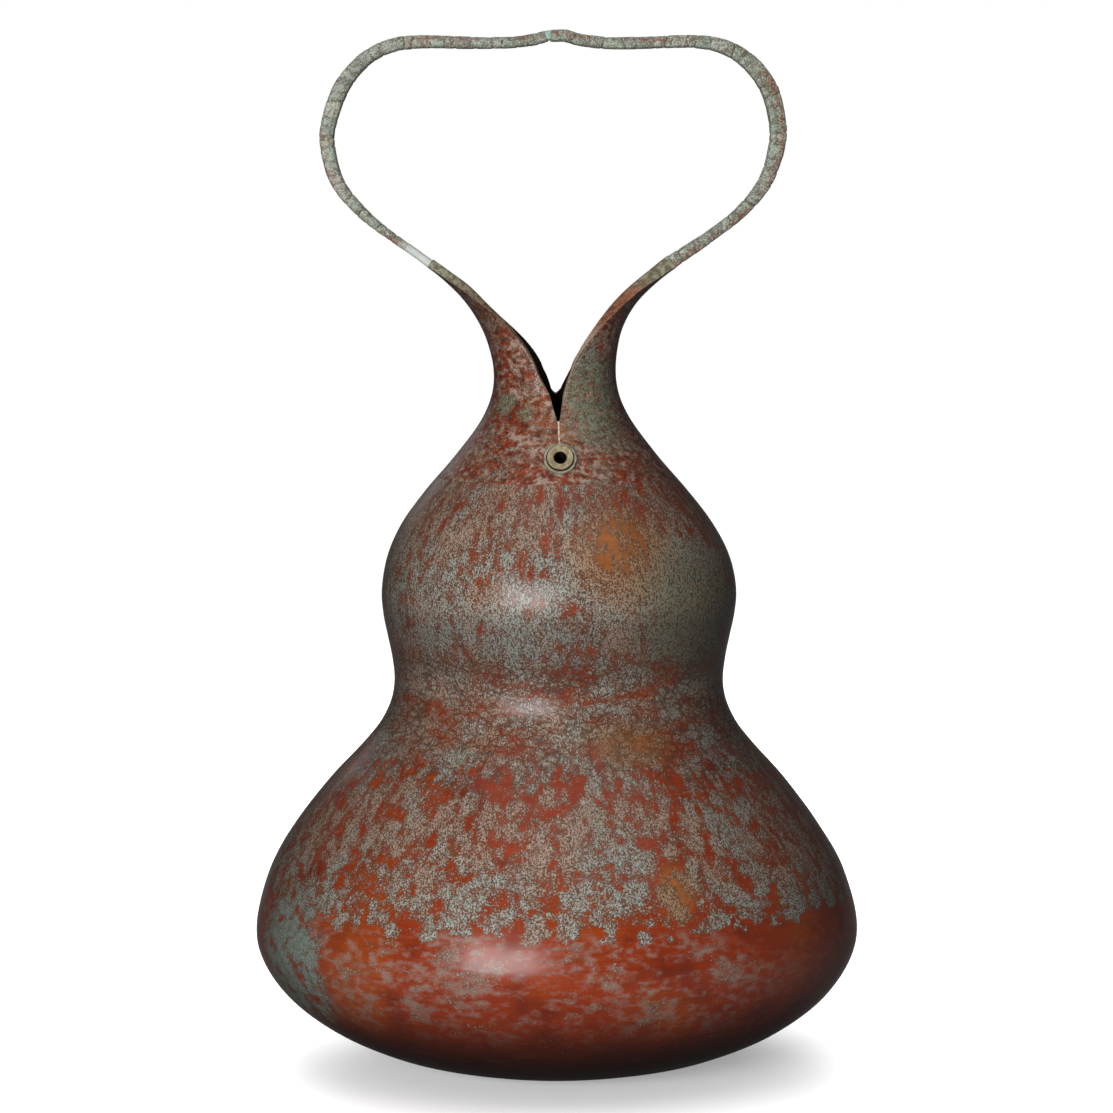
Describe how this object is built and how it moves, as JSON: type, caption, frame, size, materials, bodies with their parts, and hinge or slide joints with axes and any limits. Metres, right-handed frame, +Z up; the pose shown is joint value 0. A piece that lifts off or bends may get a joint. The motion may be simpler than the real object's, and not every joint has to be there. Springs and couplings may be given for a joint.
{
  "type": "bronze flower vase",
  "caption": "Gourd-shaped bronze flower vase with a notched neck, two horns joined by a looped strap handle, and a nail eyelet for hanging on a wall.",
  "frame": {"origin": "centre of the foot ring, on the surface that the vase stands on", "axes": "+Z up along the vase's axis, +X to the right seen from the eyelet side, the eyelet side faces -Y"},
  "size_m": [0.2074, 0.2074, 0.3531],
  "materials": {
    "base_plate": "dark brown patina",
    "belly_shell": "rust-red and grey-green mottled patina",
    "bulb_shell": "grey-green speckled patina over brown-red",
    "neck_with_horns": "rust-red patina with grey-green cells, worn cut edges",
    "left_strap": "pale grey-green patina on hammered facets",
    "right_strap": "grey-green patina on hammered facets",
    "handle_top_joint": "turquoise patina",
    "eyelet_washer": "grey-green patina",
    "eyelet_tube": "worn pale bronze"
  },
  "bodies": {
    "root": {"base_plate": "base_plate", "belly_shell": "belly_shell", "bulb_shell": "bulb_shell", "neck_with_horns": "neck_with_horns", "left_strap": "left_strap", "right_strap": "right_strap", "handle_top_joint": "handle_top_joint", "eyelet_washer": "eyelet_washer", "eyelet_tube": "eyelet_tube"}
  },
  "joints": []
}
